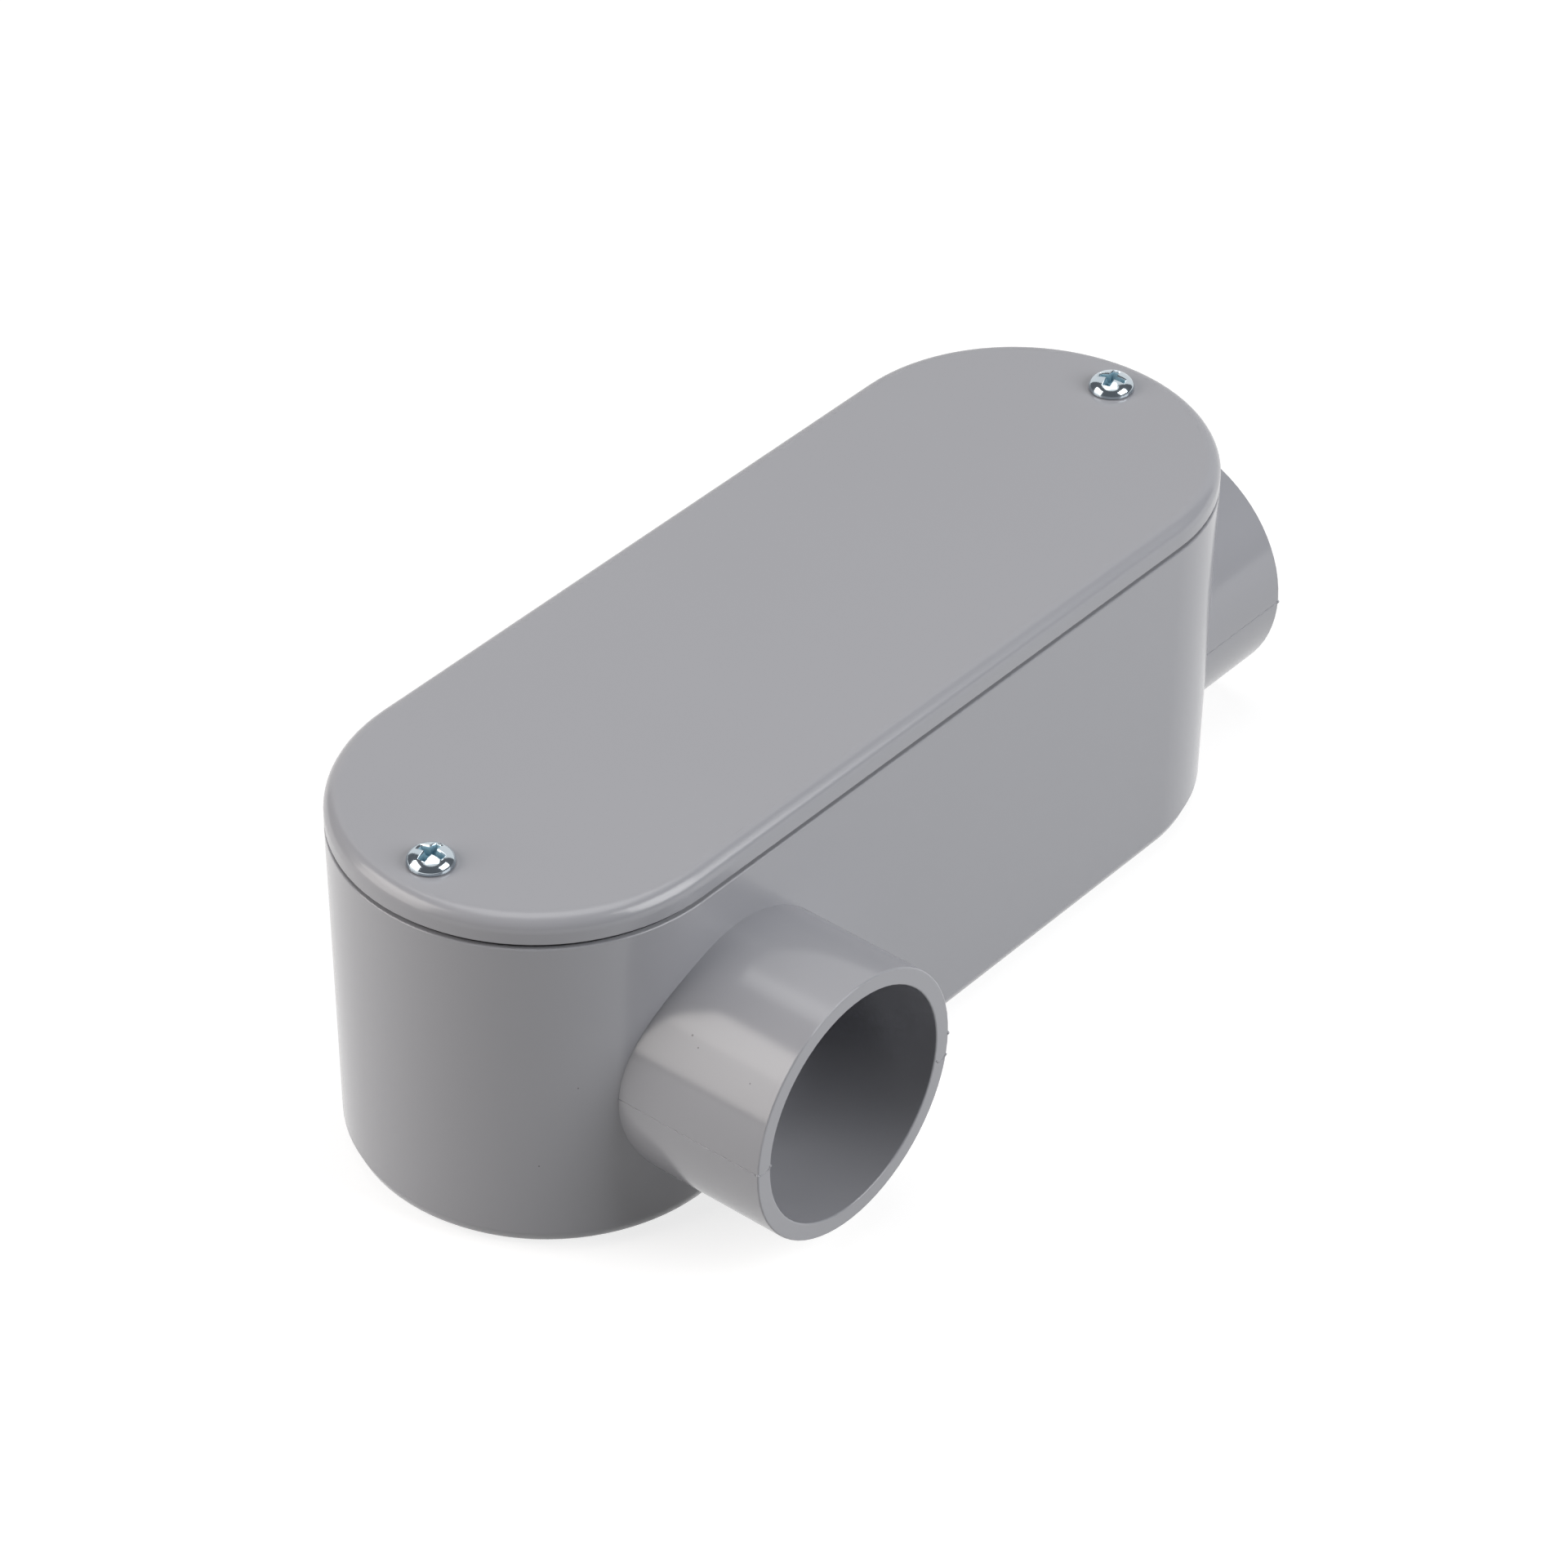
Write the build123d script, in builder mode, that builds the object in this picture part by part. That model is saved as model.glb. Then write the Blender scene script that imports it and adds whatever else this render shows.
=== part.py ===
"""Conduit body, type LR, moulded in rigid grey PVC, for 1-1/2 in conduit.

A deep box with round ends and a flat back carries two plain sockets: one in the
end, along +X, and one in the side, along -Y, near the other end. A flat cover
closes the mouth on top. It is held down on a flat gasket by two pan-head screws.

Frame: the origin is at the middle of the back face, +Z points out through the
cover and +X out of the end socket. All lengths are in millimetres.
"""

import os

from build123d import *

# Box: straight sides and full round ends that lean outwards from back to rim
box_width = 79.8
rim_length = 225.2
rim_height = 74.0
end_lean = 1.8
back_edge_flat = 3.4
back_edge_ease = 1.6
wall = 3.8
floor_thickness = 4.0
cavity_draft = 1.0

# Hubs: a plain socket for the conduit, a stop shoulder and a bevelled throat
hub_outside = 55.8
hub_length = 40.0
socket_bore = 48.6
socket_depth = 27.8
throat_bore = 40.9
stop_thickness = 3.0
throat_bevel = 0.8
end_hub_reach = 13.9
side_hub_reach = 28.8
side_hub_inset = 49.6
side_hub_height = 35.0

# Cover, a plate with a skirt as thick as the wall below it
cover_edge_height = 5.6
cover_edge_radius = 3.3
cover_plate = 3.5

# Gasket, a flat seal cut back from the outer edge
gasket_thickness = 1.0
gasket_inset = 1.1

# Screws, 3/4 in long under the head, in columns inside the round ends
screw_diameter = 4.75
screw_length = 19.0
screw_inset = 10.4
head_diameter = 9.3
head_height = 2.8
head_bevel = 1.2
recess_span = 5.0
recess_width = 1.2
recess_depth = 1.8
column_radius = 5.2
column_clearance = 0.075
cover_hole_clearance = 0.3
hole_relief = 2.0

# Sizes and places that follow from the values above
end_radius = box_width / 2
rim_centre = rim_length / 2 - end_radius
back_centre = rim_centre - end_lean
end_hub_height = hub_outside / 2
mouth_length = rim_length - 2 * wall
mouth_width = box_width - 2 * wall
cover_base = rim_height + gasket_thickness
cover_top = cover_base + cover_edge_height
screw_x = rim_length / 2 - screw_inset
screw_places = {"cover_screw_near": -screw_x, "cover_screw_far": screw_x}
column_hole_depth = screw_length - cover_edge_height - gasket_thickness + hole_relief
cover_hole_radius = screw_diameter / 2 + cover_hole_clearance

# Planes at the two socket mouths, with Z out of the mouth and Y up
end_mouth = Plane(
    origin=(rim_length / 2 + end_hub_reach, 0, end_hub_height),
    x_dir=(0, 1, 0),
    z_dir=(1, 0, 0),
)
side_mouth = Plane(
    origin=(side_hub_inset - rim_length / 2, -end_radius - side_hub_reach, side_hub_height),
    x_dir=(1, 0, 0),
    z_dir=(0, -1, 0),
)
mouths = [end_mouth, side_mouth]


def draw_columns(mode=Mode.ADD):
    """Draw the outline of both screw columns, each joined to its end wall by a web."""
    for x in screw_places.values():
        outward = x / abs(x)
        with Locations((x, 0)):
            Circle(column_radius, mode=mode)
        with Locations((x + outward * screw_inset / 2, 0)):
            Rectangle(screw_inset, 2 * column_radius, mode=mode)


def drill_screw_holes(height, radius, depth):
    """Drill both screw holes down from a height above the back."""
    for x in screw_places.values():
        with Locations((x, 0, height)):
            Hole(radius, depth=depth)


def circles_of(piece, diameter):
    """Give the round edges of a piece that have this diameter."""
    circles = piece.edges().filter_by(GeomType.CIRCLE)
    return circles.filter_by(lambda edge: abs(edge.radius - diameter / 2) < 0.01)


# Outside of one hub, with its mouth at the origin and the hub below it
with BuildPart() as hub:
    Cylinder(hub_outside / 2, hub_length, align=(Align.CENTER, Align.CENTER, Align.MAX))

# Hollow of the box, less the screw columns and the pad behind the end socket
with BuildPart() as cavity:
    with BuildSketch(Plane.XY.offset(rim_height)):
        SlotOverall(mouth_length, mouth_width)
    extrude(amount=floor_thickness - rim_height, taper=cavity_draft)
    with BuildSketch(Plane.XY.offset(rim_height)):
        draw_columns()
    extrude(amount=-rim_height, mode=Mode.SUBTRACT)
    with BuildSketch(end_mouth.offset(-socket_depth - stop_thickness)):
        Circle(hub_outside / 2)
        Rectangle(hub_outside, end_hub_height, align=(Align.CENTER, Align.MAX))
    extrude(amount=hub_length, mode=Mode.SUBTRACT)

with BuildPart() as body:
    with BuildSketch(Plane.XZ):
        Polygon(
            (-back_centre, 0),
            (back_centre, 0),
            (rim_centre, rim_height),
            (-rim_centre, rim_height),
            align=None,
        )
    extrude(amount=end_radius, both=True)
    # Each round end is a cylinder about the sloping end of that middle block
    for side in (-1, 1):
        lean = Vector(side * (rim_centre - back_centre), 0, rim_height)
        with BuildSketch(Plane(origin=(side * back_centre, 0, 0), z_dir=lean)):
            Circle(end_radius)
        extrude(amount=2 * rim_height, both=True)
    split(bisect_by=Plane.XY, keep=Keep.TOP)
    split(bisect_by=Plane.XY.offset(rim_height), keep=Keep.BOTTOM)
    # Three narrow flats, 22.5 degrees apart, round the back edge off
    chamfer(body.edges().group_by(Axis.Z)[0], back_edge_flat)
    flat = body.faces().filter_by(lambda face: abs(face.center().Z - back_edge_flat / 2) < 0.2)
    chamfer(flat.edges().filter_by(lambda edge: edge.bounding_box().size.Z < 0.01), back_edge_ease)
    with Locations(*mouths):
        add(hub.part)
    # The end hub lies flush with the flat back
    split(bisect_by=Plane.XY, keep=Keep.TOP)
    add(cavity.part, mode=Mode.SUBTRACT)
    with Locations(*mouths):
        CounterBoreHole(
            radius=throat_bore / 2,
            counter_bore_radius=socket_bore / 2,
            counter_bore_depth=socket_depth,
            depth=hub_length,
        )
    drill_screw_holes(rim_height, screw_diameter / 2 + column_clearance, column_hole_depth)
    throat_edges = circles_of(body, throat_bore)
    for mouth in mouths:
        chamfer(throat_edges.sort_by_distance(mouth.origin)[0], throat_bevel)


with BuildPart() as cover:
    with BuildSketch(Plane.XY.offset(cover_base)):
        SlotOverall(rim_length, box_width)
    extrude(amount=cover_edge_height)
    fillet(cover.edges().group_by(Axis.Z)[-1], cover_edge_radius)
    # Pocket below the plate, with a boss left round each screw
    with BuildSketch(Plane.XY.offset(cover_base)):
        SlotOverall(mouth_length, mouth_width)
        draw_columns(Mode.SUBTRACT)
    extrude(amount=cover_edge_height - cover_plate, mode=Mode.SUBTRACT)
    drill_screw_holes(cover_top, cover_hole_radius, cover_edge_height)

with BuildPart() as gasket:
    with BuildSketch(Plane.XY.offset(rim_height)):
        SlotOverall(rim_length - 2 * gasket_inset, box_width - 2 * gasket_inset)
        with BuildSketch(mode=Mode.SUBTRACT):
            SlotOverall(mouth_length, mouth_width)
            draw_columns(Mode.SUBTRACT)
    extrude(amount=gasket_thickness)
    drill_screw_holes(cover_base, cover_hole_radius, gasket_thickness)

os.makedirs("parts", exist_ok=True)
for piece, label in ((body, "body"), (cover, "cover"), (gasket, "gasket")):
    piece.part.label = label
    export_step(piece.part, f"parts/{label}.step")

# Both screws are alike: a pan head with a cross recess, seated on the cover
for label, x in screw_places.items():
    seat = Plane(origin=(x, 0, cover_top))
    with BuildPart() as screw:
        with BuildSketch(Plane(origin=seat.origin, x_dir=(1, 0, 0), z_dir=(0, -1, 0))):
            with BuildLine():
                Polyline(
                    (0, head_height),
                    (0, -screw_length),
                    (screw_diameter / 2, -screw_length),
                    (screw_diameter / 2, 0),
                    (head_diameter / 2, 0),
                    (head_diameter / 2, head_height - head_bevel),
                    (head_diameter / 2 - head_bevel, head_height),
                    (0, head_height),
                )
            make_face()
        revolve(axis=Axis(seat.origin, (0, 0, 1)))
        with BuildSketch(seat.offset(head_height)):
            Rectangle(recess_span, recess_width)
            Rectangle(recess_width, recess_span)
        extrude(amount=-recess_depth, mode=Mode.SUBTRACT)
    screw.part.label = label
    export_step(screw.part, f"parts/{label}.step")
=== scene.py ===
import math

import bmesh
import bpy
from mathutils import Matrix, Vector


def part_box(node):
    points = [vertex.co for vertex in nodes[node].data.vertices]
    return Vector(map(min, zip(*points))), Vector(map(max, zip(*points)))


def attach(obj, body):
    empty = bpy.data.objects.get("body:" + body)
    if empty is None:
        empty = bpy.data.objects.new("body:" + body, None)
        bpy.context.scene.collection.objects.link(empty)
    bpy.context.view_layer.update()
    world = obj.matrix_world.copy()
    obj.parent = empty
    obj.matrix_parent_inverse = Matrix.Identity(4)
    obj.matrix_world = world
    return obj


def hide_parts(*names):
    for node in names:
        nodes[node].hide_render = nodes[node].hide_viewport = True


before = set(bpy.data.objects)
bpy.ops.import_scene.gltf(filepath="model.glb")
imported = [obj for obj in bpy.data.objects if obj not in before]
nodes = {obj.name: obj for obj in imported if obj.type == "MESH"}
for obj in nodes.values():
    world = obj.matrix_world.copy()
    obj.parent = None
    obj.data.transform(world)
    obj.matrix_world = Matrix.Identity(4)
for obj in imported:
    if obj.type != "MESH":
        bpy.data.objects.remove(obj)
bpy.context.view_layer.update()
mm = 0.001
mixA, mixB, mixResult = 6, 7, 2   # sockets of a Mix node that mixes colours
print("frame loaded:", ", ".join(sorted(nodes)))


def linear(hexColour):
    # sRGB hex to the linear values that the shaders take
    channels = [int(hexColour[i:i + 2], 16) / 255 for i in (1, 3, 5)]
    return (*[c / 12.92 if c <= 0.04045 else ((c + 0.055) / 1.055) ** 2.4 for c in channels], 1.0)


def addNode(tree, kind, settings=None, links=None):
    # a setting names an input or an attribute, a link names an input and gives the socket that feeds it
    node = tree.nodes.new(kind)
    for key, value in (settings or {}).items():
        if isinstance(key, int) or key in node.inputs:
            node.inputs[key].default_value = value
        else:
            setattr(node, key, value)
    for key, source in (links or {}).items():
        tree.links.new(source, node.inputs[key])
    return node


def newMaterial(name):
    material = bpy.data.materials.new(name)
    material.use_nodes = True
    material.node_tree.nodes.clear()
    return material, material.node_tree


def finishPiece(mesh, name, material, body, nodeName):
    piece = bpy.data.objects.new(name, mesh)
    bpy.context.scene.collection.objects.link(piece)
    mesh.materials.clear()
    mesh.materials.append(material)
    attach(piece, body)
    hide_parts(nodeName)
    return piece


# Rigid PVC, injection moulded: semi-gloss, with a soft polish and a few pits from dust in the mould, whose shade is
# painted into the colour as dark spots
pvcLook = {
    "bodyColour": "#A5A6AC",
    "coverColour": "#A5A6AC",
    "ior": 1.53,
    "mottle": 0.012,        # share by which the grey drifts over the surface
    "mottleSize": 38.0,     # mm
    "mottleDetail": 3.0,
    "grainSize": 0.9,       # mm, orange peel of the mould's polish
    "grainHeight": 0.002,   # mm
    "grainDetail": 2.0,
    "bodyRoughness": (0.15, 0.19),
    "coverRoughness": (0.19, 0.25),
    "pitShadeColour": "#6E6F72",
    "pitFloor": 0.4,        # share of a pit's radius that is dark all over
    # place of each pit and its radius, mm
    "pits": [
        ((-84.0, -47.1, 53.4), 0.30), ((-84.95, -49.3, 52.2), 0.22), ((-85.7, -62.3, 51.2), 0.20),
        ((-97.3, -30.8, 40.3), 0.22), ((-102.3, -25.2, 21.6), 0.22),
    ],
}


def pitShadeMask(tree, place):
    # painted shade of the pits: 1 in the middle of each pit, 0 from its edge outwards
    mask = None
    for centre, radius in pvcLook["pits"]:
        away = addNode(tree, "ShaderNodeVectorMath", {"operation": "DISTANCE", 1: Vector(centre) * mm}, {0: place})
        spread = {"From Min": radius * mm * pvcLook["pitFloor"], "From Max": radius * mm, "To Min": 1.0, "To Max": 0.0}
        spot = addNode(tree, "ShaderNodeMapRange", spread, {"Value": away.outputs["Value"]}).outputs[0]
        if mask is None:
            mask = spot
        else:
            mask = addNode(tree, "ShaderNodeMath", {"operation": "MAXIMUM"}, {0: mask, 1: spot}).outputs[0]
    return mask


def pvcMaterial(name, colour, roughness, pitted):
    look = pvcLook
    material, tree = newMaterial(name)
    place = addNode(tree, "ShaderNodeTexCoord").outputs["Object"]
    drift = addNode(tree, "ShaderNodeTexNoise",
                    {"Scale": 1 / (look["mottleSize"] * mm), "Detail": look["mottleDetail"]},
                    {"Vector": place}).outputs["Fac"]
    dark, light = [[c * (1 + shift) for c in linear(colour)[:3]] + [1] for shift in (-look["mottle"], look["mottle"])]
    tint = addNode(tree, "ShaderNodeMix", {"data_type": "RGBA", mixA: dark, mixB: light}, {0: drift})
    # painted shade: each pit is darkened in the colour, since it has no depth of its own
    if pitted:
        tint = addNode(tree, "ShaderNodeMix", {"data_type": "RGBA", mixB: linear(look["pitShadeColour"])},
                       {0: pitShadeMask(tree, place), mixA: tint.outputs[mixResult]})
    grain = addNode(tree, "ShaderNodeTexNoise", {"Scale": 1 / (look["grainSize"] * mm), "Detail": look["grainDetail"]},
                    {"Vector": place})
    gloss = addNode(tree, "ShaderNodeMapRange", {"To Min": roughness[0], "To Max": roughness[1]}, {"Value": drift})
    peel = addNode(tree, "ShaderNodeBump", {"Strength": 1.0, "Distance": look["grainHeight"] * mm},
                   {"Height": grain.outputs["Fac"]})
    shader = addNode(tree, "ShaderNodeBsdfPrincipled", {"IOR": look["ior"]},
                     {"Base Color": tint.outputs[mixResult], "Roughness": gloss.outputs[0],
                      "Normal": peel.outputs["Normal"]})
    addNode(tree, "ShaderNodeOutputMaterial", None, {"Surface": shader.outputs[0]})
    return material


bodyPvc = pvcMaterial("moulded_pvc_body", pvcLook["bodyColour"], pvcLook["bodyRoughness"], True)
coverPvc = pvcMaterial("moulded_pvc_cover", pvcLook["coverColour"], pvcLook["coverRoughness"], False)
print("moulded PVC ready")

# Closed-cell rubber sheet, die-cut: dull, near black, with open pores along its cut edge, whose shade is painted darker
# into the colour
gasketLook = {
    "colour": "#3A3A3B",
    "poreShadeColour": "#262627",
    "poreSize": 0.5,        # mm
    "poreDepth": 0.05,      # mm
    "poreStrength": 0.6,
    "roughness": 0.85,
}


def gasketMaterial():
    look = gasketLook
    material, tree = newMaterial("gasket_foam")
    place = addNode(tree, "ShaderNodeTexCoord").outputs["Object"]
    pores = addNode(tree, "ShaderNodeTexVoronoi", {"Scale": 1 / (look["poreSize"] * mm)},
                    {"Vector": place}).outputs["Distance"]
    # painted shade: the pores are darker in the colour as well as dented by the bump
    tint = addNode(tree, "ShaderNodeMix",
                   {"data_type": "RGBA", mixA: linear(look["poreShadeColour"]), mixB: linear(look["colour"])}, {0: pores})
    dents = addNode(tree, "ShaderNodeBump", {"Strength": look["poreStrength"], "Distance": look["poreDepth"] * mm},
                    {"Height": pores})
    shader = addNode(tree, "ShaderNodeBsdfPrincipled", {"Roughness": look["roughness"]},
                     {"Base Color": tint.outputs[mixResult], "Normal": dents.outputs["Normal"]})
    addNode(tree, "ShaderNodeOutputMaterial", None, {"Surface": shader.outputs[0]})
    return material


nodes["gasket"].data.materials.clear()
nodes["gasket"].data.materials.append(gasketMaterial())
print("gasket ready")

# Bright zinc plate on steel: a mirror softened by fine plating ripple, faintly blue, duller and bluer in the recess,
# where its colour is also darkened as painted shade
zincLook = {
    "colour": "#C3CED5",
    "roughness": (0.09, 0.14),
    "rippleSize": 1.4,       # mm
    "rippleHeight": 0.010,   # mm
    "rippleDetail": 2.0,
    "recessShadeColour": "#7FA3B3",
    "recessRoughness": 0.42,
    "recessMetal": 0.35,
    # recess is what lies this far inside a dome of these sizes, and above this share of its height
    "domeRadius": 4.65,      # mm
    "domeHeight": 2.8,       # mm
    "domeShare": (0.92, 0.965),
    "seatShare": 0.1,
}


def zincMaterial(name, seat):
    look = zincLook
    material, tree = newMaterial(name)
    place = addNode(tree, "ShaderNodeTexCoord").outputs["Object"]
    ripple = addNode(tree, "ShaderNodeTexNoise",
                     {"Scale": 1 / (look["rippleSize"] * mm), "Detail": look["rippleDetail"]},
                     {"Vector": place}).outputs["Fac"]
    scale = [1 / (look[key] * mm) for key in ("domeRadius", "domeRadius", "domeHeight")]
    inHead = addNode(tree, "ShaderNodeMapping", {"Location": [-c * k for c, k in zip(seat, scale)], "Scale": scale},
                     {"Vector": place}).outputs[0]
    share = addNode(tree, "ShaderNodeVectorMath", {"operation": "LENGTH"}, {0: inHead})
    inside = addNode(tree, "ShaderNodeMapRange",
                     {"From Min": look["domeShare"][0], "From Max": look["domeShare"][1], "To Min": 1.0, "To Max": 0.0},
                     {"Value": share.outputs["Value"]})
    height = addNode(tree, "ShaderNodeSeparateXYZ", None, {0: inHead}).outputs["Z"]
    overSeat = addNode(tree, "ShaderNodeMath", {"operation": "GREATER_THAN", 1: look["seatShare"]}, {0: height})
    recess = addNode(tree, "ShaderNodeMath", {"operation": "MULTIPLY"},
                     {0: inside.outputs[0], 1: overSeat.outputs[0]}).outputs[0]
    # partly painted shade: the recess takes a darker, bluer colour and less metal, besides its duller plating
    tint = addNode(tree, "ShaderNodeMix",
                   {"data_type": "RGBA", mixA: linear(look["colour"]), mixB: linear(look["recessShadeColour"])}, {0: recess})
    gloss = addNode(tree, "ShaderNodeMapRange", {"To Min": look["roughness"][0], "To Max": look["roughness"][1]},
                    {"Value": ripple})
    dull = addNode(tree, "ShaderNodeMix", {"data_type": "FLOAT", 3: look["recessRoughness"]},
                   {0: recess, 2: gloss.outputs[0]})
    metal = addNode(tree, "ShaderNodeMapRange", {"To Min": 1.0, "To Max": look["recessMetal"]}, {"Value": recess})
    wave = addNode(tree, "ShaderNodeBump", {"Strength": 1.0, "Distance": look["rippleHeight"] * mm}, {"Height": ripple})
    shader = addNode(tree, "ShaderNodeBsdfPrincipled", None,
                     {"Base Color": tint.outputs[mixResult], "Metallic": metal.outputs[0], "Roughness": dull.outputs[0],
                      "Normal": wave.outputs["Normal"]})
    addNode(tree, "ShaderNodeOutputMaterial", None, {"Surface": shader.outputs[0]})
    return material


# Mouldings: the solids' own shape, with their sharp edges eased as a mould leaves them
mouldingLook = {
    "mergeDistance": 0.004,   # mm
    "flatAngle": 0.5,         # degrees, faces that turn less are joined
    "edgeRound": 0.35,        # mm
    "edgeSegments": 3,
    "edgeAngle": 40,          # degrees, edges that stick out and are sharper than this are eased
    "shadingWeight": 80,      # how far large faces lead the shading
}

# Flash, the thin line of plastic where the two halves of the mould met, on both sides of each hub
flashLook = {
    "width": 0.46,      # mm, as all lengths here
    "rise": 0.20,
    "ringRise": 0.26,
    "step": 0.8,
    "sink": 0.05,       # how deep its foot stands in the plastic
    "outerRadius": 27.9,
    "mouthGap": 0.3,    # from the mouth's edge to the start of the line
    # axis point at the mouth, direction into the box, sideways direction, height over the axis, reach to the box
    "hubs": [
        ((-63.0, -68.7, 35.0), (0, 1, 0), (-1, 0, 0), 0.8, 33.8),
        ((-63.0, -68.7, 35.0), (0, 1, 0), (1, 0, 0), -0.3, 28.7),
        ((126.5, 0, 27.9), (-1, 0, 0), (0, -1, 0), -0.8, 26.4),
        ((126.5, 0, 27.9), (-1, 0, 0), (0, 1, 0), -0.8, 26.4),
    ],
    # across a mouth: (sideways, up) from the hub's axis, from its outer edge to its bore
    "rings": [
        ((27.7, 0.8), (26.6, 0.45), (25.6, 0.35), (24.9, 0.6), (24.4, 1.15)),
        ((27.3, -4.9), (26.5, -5.75), (25.5, -6.0), (24.9, -5.7), (24.5, -5.0)),
        ((27.7, -0.8), (26.2, -0.7), (24.4, -0.8)),
        ((27.7, -0.8), (26.2, -0.9), (24.4, -0.8)),
    ],
    "ringSeed": 1.5,
    "beadRadius": 0.40,  # bead where the line turns over an edge of the mouth
    "beadIn": 0.2,       # its place behind the mouth and under the hub's surface
    "beadUnder": 0.15,
}


def addRidge(bm, path, outward, rise, seed):
    # a low closed ridge along a path, that fades in places as flash does
    look = flashLook
    rows = []
    for i, point in enumerate(path):
        along = (path[min(i + 1, len(path) - 1)] - path[max(i - 1, 0)]).normalized()
        across = along.cross(outward).normalized() * look["width"] / 2
        waver = 0.6 + 0.4 * math.sin(seed + i * 1.7) * math.sin(0.6 * seed + i * 0.47)
        foot = point - outward * look["sink"]
        crest = outward * (rise * waver + look["sink"])
        rows.append([bm.verts.new((foot + offset) * mm) for offset in (-across, crest, across)])
    faces = []
    for low, high in zip(rows, rows[1:]):
        for k in range(3):
            faces.append(bm.faces.new((low[k], low[(k + 1) % 3], high[(k + 1) % 3], high[k])))
    faces += [bm.faces.new(rows[0]), bm.faces.new(rows[-1])]
    bmesh.ops.recalc_face_normals(bm, faces=faces)


def between(start, end, step):
    count = max(2, round((end - start).length / step))
    return [start.lerp(end, i / count) for i in range(count + 1)]


def addFlash(bm):
    look = flashLook
    up = Vector((0, 0, 1))
    for seed, ((mouth, inward, side, height, reach), ring) in enumerate(zip(look["hubs"], look["rings"])):
        mouth, inward, side = Vector(mouth), Vector(inward), Vector(side)
        outer = mouth + side * math.sqrt(look["outerRadius"] ** 2 - height ** 2) + up * height
        line = between(outer + inward * look["mouthGap"], outer + inward * reach, look["step"])
        addRidge(bm, line, side, look["rise"], seed + 1.0)
        across = [mouth + side * out + up * lift for out, lift in ring]
        addRidge(bm, across, -inward, look["ringRise"], look["ringSeed"])
        for place in (outer - side * look["beadUnder"], across[-1]):
            bead = bmesh.ops.create_icosphere(bm, subdivisions=2, radius=look["beadRadius"] * mm)["verts"]
            bmesh.ops.translate(bm, verts=bead, vec=(place + inward * look["beadIn"]) * mm)


def mouldingPiece(nodeName, pieceName, material, body, withFlash):
    look = mouldingLook
    edgeAngle = math.radians(look["edgeAngle"])
    mesh = nodes[nodeName].data.copy()
    bm = bmesh.new()
    bm.from_mesh(mesh)
    bmesh.ops.remove_doubles(bm, verts=bm.verts, dist=look["mergeDistance"] * mm)
    bmesh.ops.dissolve_limit(bm, angle_limit=math.radians(look["flatAngle"]), verts=bm.verts, edges=bm.edges)
    sharp = [edge for edge in bm.edges if edge.is_manifold and edge.is_convex and edge.calc_face_angle() > edgeAngle]
    bmesh.ops.bevel(bm, geom=sharp, offset=look["edgeRound"] * mm, offset_type="OFFSET", segments=look["edgeSegments"],
                    profile=0.5, affect="EDGES", clamp_overlap=False, material=-1)
    # edges that turn inwards stay crisp
    for edge in bm.edges:
        edge.smooth = edge.is_manifold and edge.calc_face_angle() < edgeAngle
    if withFlash:
        addFlash(bm)
    for face in bm.faces:
        face.smooth = True
    bm.to_mesh(mesh)
    bm.free()
    if mesh.attributes.get("custom_normal"):
        mesh.attributes.remove(mesh.attributes["custom_normal"])
    piece = finishPiece(mesh, pieceName, material, body, nodeName)
    even = piece.modifiers.new("shading", "WEIGHTED_NORMAL")
    even.weight = look["shadingWeight"]
    even.keep_sharp = True
    print(f"{pieceName} ready, {len(sharp)} edges eased")


mouldingPiece("body", "moulded_body", bodyPvc, "conduit_box", True)
mouldingPiece("cover", "moulded_cover", coverPvc, "cover_set", False)

# Pan-head screws: domed head with a cross recess, and a cut thread on the shank, all in mm
screwLook = {
    "headRadius": 4.65,
    "headHeight": 3.0,
    "edgeHeight": 0.45,
    "undercut": (0.55, 0.32),  # inwards and up, the dark line under the head
    "domeSteps": 20,
    "headSegments": 64,
    "recessSpan": 8.0,
    "recessWidth": 2.1,
    "recessDepth": 2.2,
    "recessOver": 0.4,       # how far the cutter stands out of the head
    "recessFoot": 0.36,      # share of the span and width that is left at the bottom
    "rimRound": 0.06,
    "sharpAngle": 32,        # degrees
    "threadPitch": 1.058,
    "threadLength": 19.0,
    "turns": 17,
    "threadSegments": 24,
    "crestRadius": 2.36,
    "rootRadius": 1.85,
    "tooth": (0.13, 0.5, 0.6),  # shares of the pitch: foot of the flank, start and end of the crest
    "tipRadius": 1.65,
    "tipHeight": 0.5,
    "coreRadius": 1.87,
    "neckHeight": 0.6,
}


def spinProfile(bm, points, segments):
    # turns an open outline of (radius, height) points about the Z axis
    verts = [bm.verts.new((r * mm, 0, z * mm)) for r, z in points]
    edges = [bm.edges.new(pair) for pair in zip(verts, verts[1:])]
    bmesh.ops.spin(bm, geom=verts + edges, cent=(0, 0, 0), axis=(0, 0, 1), angle=2 * math.pi,
                   steps=segments, use_merge=True, use_duplicate=False)
    bmesh.ops.remove_doubles(bm, verts=bm.verts, dist=0.002 * mm)
    bmesh.ops.recalc_face_normals(bm, faces=bm.faces)


def meshFrom(bm, name):
    mesh = bpy.data.meshes.new(name)
    bm.to_mesh(mesh)
    bm.free()
    return mesh


def headMesh():
    look = screwLook
    bm = bmesh.new()
    inwards, upwards = look["undercut"]
    radius, edge = look["headRadius"], look["edgeHeight"]
    outline = [(0, 0), (radius - inwards, 0), (radius, upwards), (radius, edge)]
    for i in range(1, look["domeSteps"]):
        turn = math.pi / 2 * i / look["domeSteps"]
        outline.append((radius * math.cos(turn), edge + (look["headHeight"] - edge) * math.sin(turn)))
    outline.append((0, look["headHeight"]))
    spinProfile(bm, outline, look["headSegments"])
    return meshFrom(bm, "screw_head")


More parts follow.
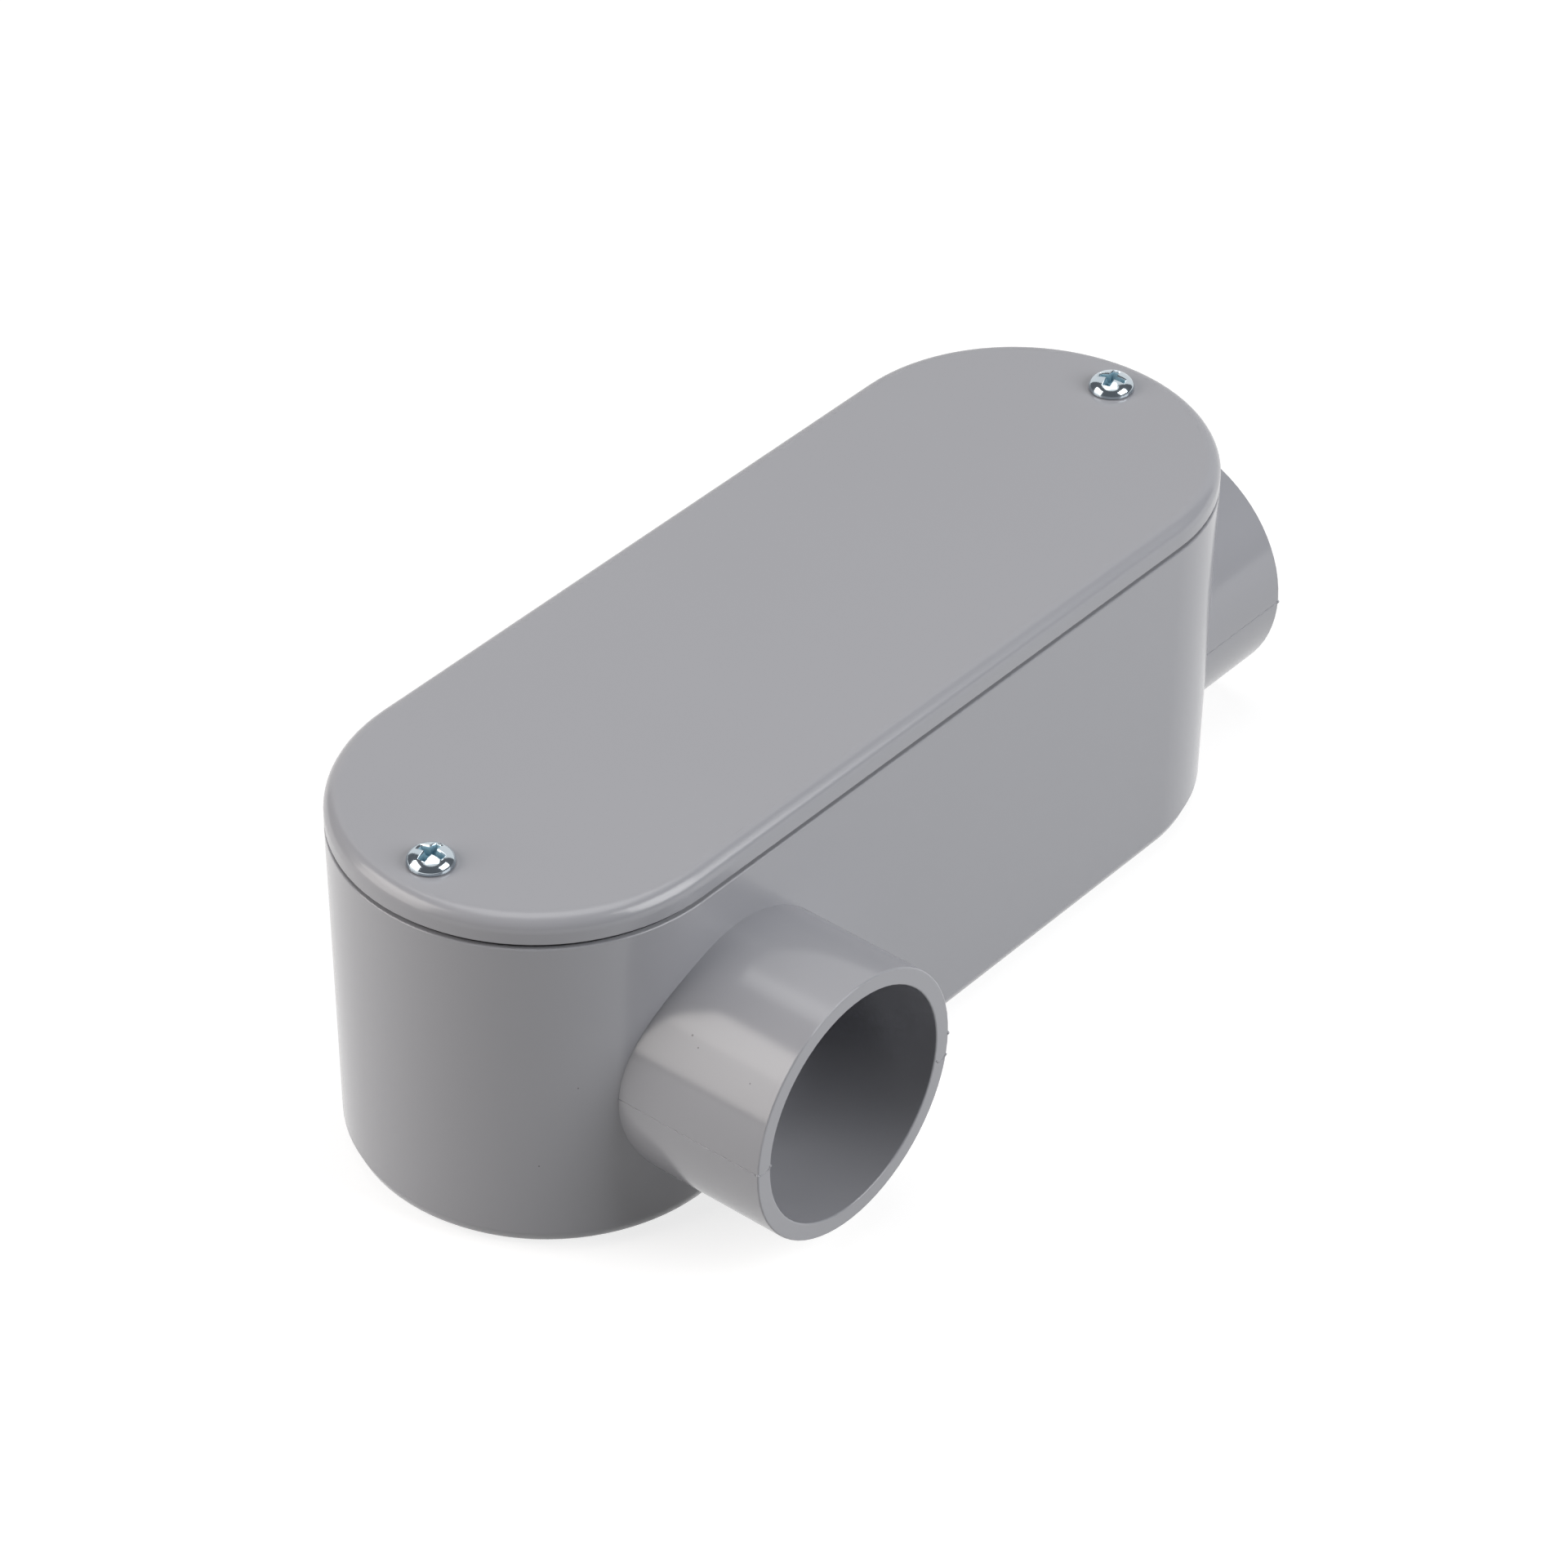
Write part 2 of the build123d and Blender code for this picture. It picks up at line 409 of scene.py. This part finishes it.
def recessMesh():
    # two tapered wings with blunt ends that cross
    look = screwLook
    bm = bmesh.new()
    top = look["headHeight"] + look["recessOver"]
    bottom = look["headHeight"] - look["recessDepth"]
    corner = look["recessSpan"] / 2 / math.cos(math.pi / 4)
    for turn in (0, math.pi / 2):
        wing = bmesh.ops.create_cone(bm, cap_ends=True, segments=4, radius1=corner * look["recessFoot"] * mm,
                                     radius2=corner * mm, depth=(top - bottom) * mm)["verts"]
        bmesh.ops.rotate(bm, verts=wing, cent=(0, 0, 0), matrix=Matrix.Rotation(math.pi / 4, 3, "Z"))
        bmesh.ops.scale(bm, verts=wing, vec=(1, look["recessWidth"] / look["recessSpan"], 1))
        bmesh.ops.translate(bm, verts=wing, vec=(0, 0, (top + bottom) / 2 * mm))
        bmesh.ops.rotate(bm, verts=wing, cent=(0, 0, 0), matrix=Matrix.Rotation(turn, 3, "Z"))
    return meshFrom(bm, "screw_recess")


def threadMesh():
    look = screwLook
    bm = bmesh.new()
    pitch, length = look["threadPitch"], look["threadLength"]
    root, crest, core = look["rootRadius"], look["crestRadius"], look["coreRadius"]
    foot, crestStart, crestEnd = [share * pitch for share in look["tooth"]]
    tooth = [(root, 0), (root, foot), (crest, crestStart), (crest, crestEnd), (root, pitch)]
    verts = [bm.verts.new((r * mm, 0, (z - length) * mm)) for r, z in tooth]
    edges = [bm.edges.new(pair) for pair in zip(verts, verts[1:])]
    bmesh.ops.spin(bm, geom=verts + edges, cent=(0, 0, 0), axis=(0, 0, 1), angle=2 * math.pi * look["turns"],
                   steps=look["turns"] * look["threadSegments"], dvec=(0, 0, pitch * mm / look["threadSegments"]),
                   use_merge=False, use_duplicate=False)
    bmesh.ops.remove_doubles(bm, verts=bm.verts, dist=0.005 * mm)
    # both open ends of the thread are closed by a fan about the axis
    middle = -length / 2 * mm
    for atTop in (False, True):
        rim = [edge for edge in bm.edges if edge.is_boundary and (edge.verts[0].co.z > middle) == atTop]
        centre = bm.verts.new((0, 0, sum(edge.verts[0].co.z for edge in rim) / len(rim)))
        for edge in rim:
            bm.faces.new((*edge.verts, centre))
    # plain core and the neck under the head
    spinProfile(bm, [(0, -length), (look["tipRadius"], -length), (core, look["tipHeight"] - length),
                     (core, -look["neckHeight"]), (crest, 0), (0, 0)], look["threadSegments"])
    return meshFrom(bm, "screw_thread")


def screwPiece(nodeName, pieceName, body, turn):
    look = screwLook
    low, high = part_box(nodeName)
    coverTop = nodes["cover"].bound_box[6][2]
    seat = Vector(((low.x + high.x) / 2, (low.y + high.y) / 2, coverTop))
    head = bpy.data.objects.new("head", headMesh())
    cutter = bpy.data.objects.new("cutter", recessMesh())
    for part in (head, cutter):
        bpy.context.scene.collection.objects.link(part)
    cut = head.modifiers.new("recess", "BOOLEAN")
    cut.operation = "DIFFERENCE"
    cut.object = cutter
    cut.solver = "EXACT"
    cut.use_self = True
    bpy.context.view_layer.update()
    mesh = bpy.data.meshes.new_from_object(head.evaluated_get(bpy.context.evaluated_depsgraph_get()))
    for part in (head, cutter):
        bpy.data.objects.remove(part)
    bm = bmesh.new()
    bm.from_mesh(mesh)
    bmesh.ops.remove_doubles(bm, verts=bm.verts, dist=0.003 * mm)
    sharpAngle = math.radians(look["sharpAngle"])
    rim = [edge for edge in bm.edges if edge.is_manifold and edge.is_convex and edge.calc_face_angle() > sharpAngle
           and min(v.co.z for v in edge.verts) > look["edgeHeight"] * 2 * mm]
    bmesh.ops.bevel(bm, geom=rim, offset=look["rimRound"] * mm, offset_type="OFFSET", segments=2, profile=0.5,
                    affect="EDGES", clamp_overlap=False, material=-1)
    bm.from_mesh(threadMesh())
    bmesh.ops.rotate(bm, verts=bm.verts, cent=(0, 0, 0), matrix=Matrix.Rotation(math.radians(turn), 3, "Z"))
    bmesh.ops.translate(bm, verts=bm.verts, vec=seat)
    for face in bm.faces:
        face.smooth = True
    for edge in bm.edges:
        edge.smooth = edge.is_manifold and edge.calc_face_angle() < sharpAngle
    bm.to_mesh(mesh)
    bm.free()
    mesh.name = pieceName
    finishPiece(mesh, pieceName, zincMaterial(f"bright_zinc_plate_{body}", seat), body, nodeName)


screwPiece("cover_screw_near", "pan_head_screw_near", "near_screw", 6)
screwPiece("cover_screw_far", "pan_head_screw_far", "far_screw", 15)
print("screws ready")

# Studio: a white paper floor and backdrop
studioLook = {
    "floorSize": 3.2,         # metres
    "floorDrop": 0.02,        # mm under the back of the body
    "floorColour": "#A8A8A8",
    "floorLift": 0.78,        # glow that brings the paper to white for the camera and in mirrors
    "worldLevel": 0.02,
    "backgroundColour": "#FDFDFD",
    "cardColour": "#6C6E72",
}


def seenRays(tree):
    # 1 for rays that show the background itself, straight from the camera, mirrored or through glass
    path = addNode(tree, "ShaderNodeLightPath")
    shown = addNode(tree, "ShaderNodeMath", {"operation": "MAXIMUM"},
                    {0: path.outputs["Is Camera Ray"], 1: path.outputs["Is Glossy Ray"]})
    return addNode(tree, "ShaderNodeMath", {"operation": "MAXIMUM"},
                   {0: shown.outputs[0], 1: path.outputs["Is Transmission Ray"]}).outputs[0]


def stagePlane(name, corners, material):
    bm = bmesh.new()
    bm.faces.new([bm.verts.new(corner) for corner in corners])
    mesh = meshFrom(bm, name)
    plane = bpy.data.objects.new(name, mesh)
    bpy.context.scene.collection.objects.link(plane)
    mesh.materials.append(material)


def makeFloor():
    material, tree = newMaterial("studio_paper")
    paper = addNode(tree, "ShaderNodeBsdfDiffuse", {"Color": linear(studioLook["floorColour"])})
    lift = addNode(tree, "ShaderNodeMath", {"operation": "MULTIPLY", 1: studioLook["floorLift"]}, {0: seenRays(tree)})
    glow = addNode(tree, "ShaderNodeEmission", {"Color": (1, 1, 1, 1)}, {"Strength": lift.outputs[0]})
    both = addNode(tree, "ShaderNodeAddShader", None, {0: paper.outputs[0], 1: glow.outputs[0]})
    addNode(tree, "ShaderNodeOutputMaterial", None, {"Surface": both.outputs[0]})
    half, drop = studioLook["floorSize"] / 2, studioLook["floorDrop"] * mm
    stagePlane("studio_floor", [(x * half, y * half, -drop) for x, y in ((-1, -1), (1, -1), (1, 1), (-1, 1))], material)


def makeWorld():
    world = bpy.data.worlds.new("studio_world")
    bpy.context.scene.world = world
    world.use_nodes = True
    tree = world.node_tree
    tree.nodes.clear()
    room = addNode(tree, "ShaderNodeBackground", {"Color": (1, 1, 1, 1), "Strength": studioLook["worldLevel"]})
    backdrop = addNode(tree, "ShaderNodeBackground", {"Color": linear(studioLook["backgroundColour"]), "Strength": 1.0})
    mix = addNode(tree, "ShaderNodeMixShader", None, {0: seenRays(tree), 1: room.outputs[0], 2: backdrop.outputs[0]})
    addNode(tree, "ShaderNodeOutputWorld", None, {"Surface": mix.outputs[0]})


# Grey cards, seen by mirrored rays alone, that keep the room round the soft boxes dark:
# azimuth from and to, lower and upper elevation in degrees, distance in metres
cardLook = {
    "dark_side_card": (80, 346, 0, 66, 2.3),
    "left_low_card": (110, 178, 0, 3, 1.6),
}
cardTurn = 25   # degrees, the widest flat piece of a card


def makeCards():
    material, tree = newMaterial("grey_card")
    path = addNode(tree, "ShaderNodeLightPath")
    grey = addNode(tree, "ShaderNodeEmission", {"Color": linear(studioLook["cardColour"])},
                   {"Strength": path.outputs["Is Glossy Ray"]})
    clear = addNode(tree, "ShaderNodeBsdfTransparent")
    mix = addNode(tree, "ShaderNodeMixShader", None,
                  {0: path.outputs["Is Camera Ray"], 1: grey.outputs[0], 2: clear.outputs[0]})
    addNode(tree, "ShaderNodeOutputMaterial", None, {"Surface": mix.outputs[0]})
    for name, (first, last, low, high, distance) in cardLook.items():
        parts = math.ceil((last - first) / cardTurn)
        bottom, top = [distance * math.tan(math.radians(lift)) for lift in (low, high)]
        for part in range(parts):
            turns = [math.radians(first + (last - first) * (part + k) / parts) for k in (0, 1)]
            left, right = [(distance * math.cos(turn), distance * math.sin(turn)) for turn in turns]
            stagePlane(f"{name}_{part + 1}", [(*left, bottom), (*right, bottom), (*right, top), (*left, top)], material)


# Soft boxes: azimuth and elevation as seen from the aim, distance and size in metres, power in watts
lampLook = {
    "left_softbox": {"azimuth": 145, "elevation": 17, "size": (1.0, 0.68), "power": 7.4, "colour": "#FFFAF5"},
    "left_high_softbox": {"azimuth": 140, "elevation": 40, "size": (0.9, 0.40), "power": 5.2, "colour": "#FFFAF5"},
    "right_softbox": {"azimuth": -72, "elevation": 33, "size": (0.90, 0.80), "power": 12.4, "colour": "#FFFFFF"},
    "overhead_softbox": {"azimuth": 50, "elevation": 82, "size": (0.95, 0.90), "power": 4.6, "colour": "#FFFFFF"},
}
lampDistance = 1.3
lampAim = (0, 0, 0.04)


def makeLamps():
    for name, look in lampLook.items():
        data = bpy.data.lights.new(name, "AREA")
        data.shape = "RECTANGLE"
        data.size, data.size_y = look["size"]
        data.energy = look["power"]
        data.color = linear(look["colour"])[:3]
        lamp = bpy.data.objects.new(name, data)
        bpy.context.scene.collection.objects.link(lamp)
        turn, lift = math.radians(look["azimuth"]), math.radians(look["elevation"])
        towards = Vector((math.cos(turn) * math.cos(lift), math.sin(turn) * math.cos(lift), math.sin(lift)))
        lamp.location = Vector(lampAim) + towards * lampDistance
        lamp.rotation_mode = "QUATERNION"
        lamp.rotation_quaternion = (-towards).to_track_quat("-Z", "Y")


# Camera at the photo's view, fitted to its outlines: angles in degrees, distance in metres, target and lens in mm
cameraLook = {
    "azimuth": -50.643,
    "elevation": 37.350,
    "roll": 0.624,
    "distance": 1.19667,
    "target": (-17.239, -13.375, 55.748),
    "lens": 143.046,
    "sensor": 36,
    "clip": (0.05, 50),
}


def makeCamera():
    look = cameraLook
    turn, lift, roll = [math.radians(look[key]) for key in ("azimuth", "elevation", "roll")]
    back = Vector((math.sin(turn) * math.cos(lift), -math.cos(turn) * math.cos(lift), math.sin(lift)))
    right = Vector((math.cos(turn), math.sin(turn), 0))
    up = back.cross(right)
    rolledRight = right * math.cos(roll) + up * math.sin(roll)
    rolledUp = up * math.cos(roll) - right * math.sin(roll)
    data = bpy.data.cameras.new("photo_view")
    data.lens = look["lens"]
    data.sensor_width = look["sensor"]
    data.clip_start, data.clip_end = look["clip"]
    camera = bpy.data.objects.new("photo_view", data)
    bpy.context.scene.collection.objects.link(camera)
    camera.matrix_world = Matrix((rolledRight, rolledUp, back)).transposed().to_4x4()
    camera.location = Vector(look["target"]) * mm + back * look["distance"]
    bpy.context.scene.camera = camera


makeFloor()
makeWorld()
makeCards()
makeLamps()
makeCamera()
bpy.context.scene.view_settings.view_transform = "Standard"
print("studio ready")

bpy.context.view_layer.update()
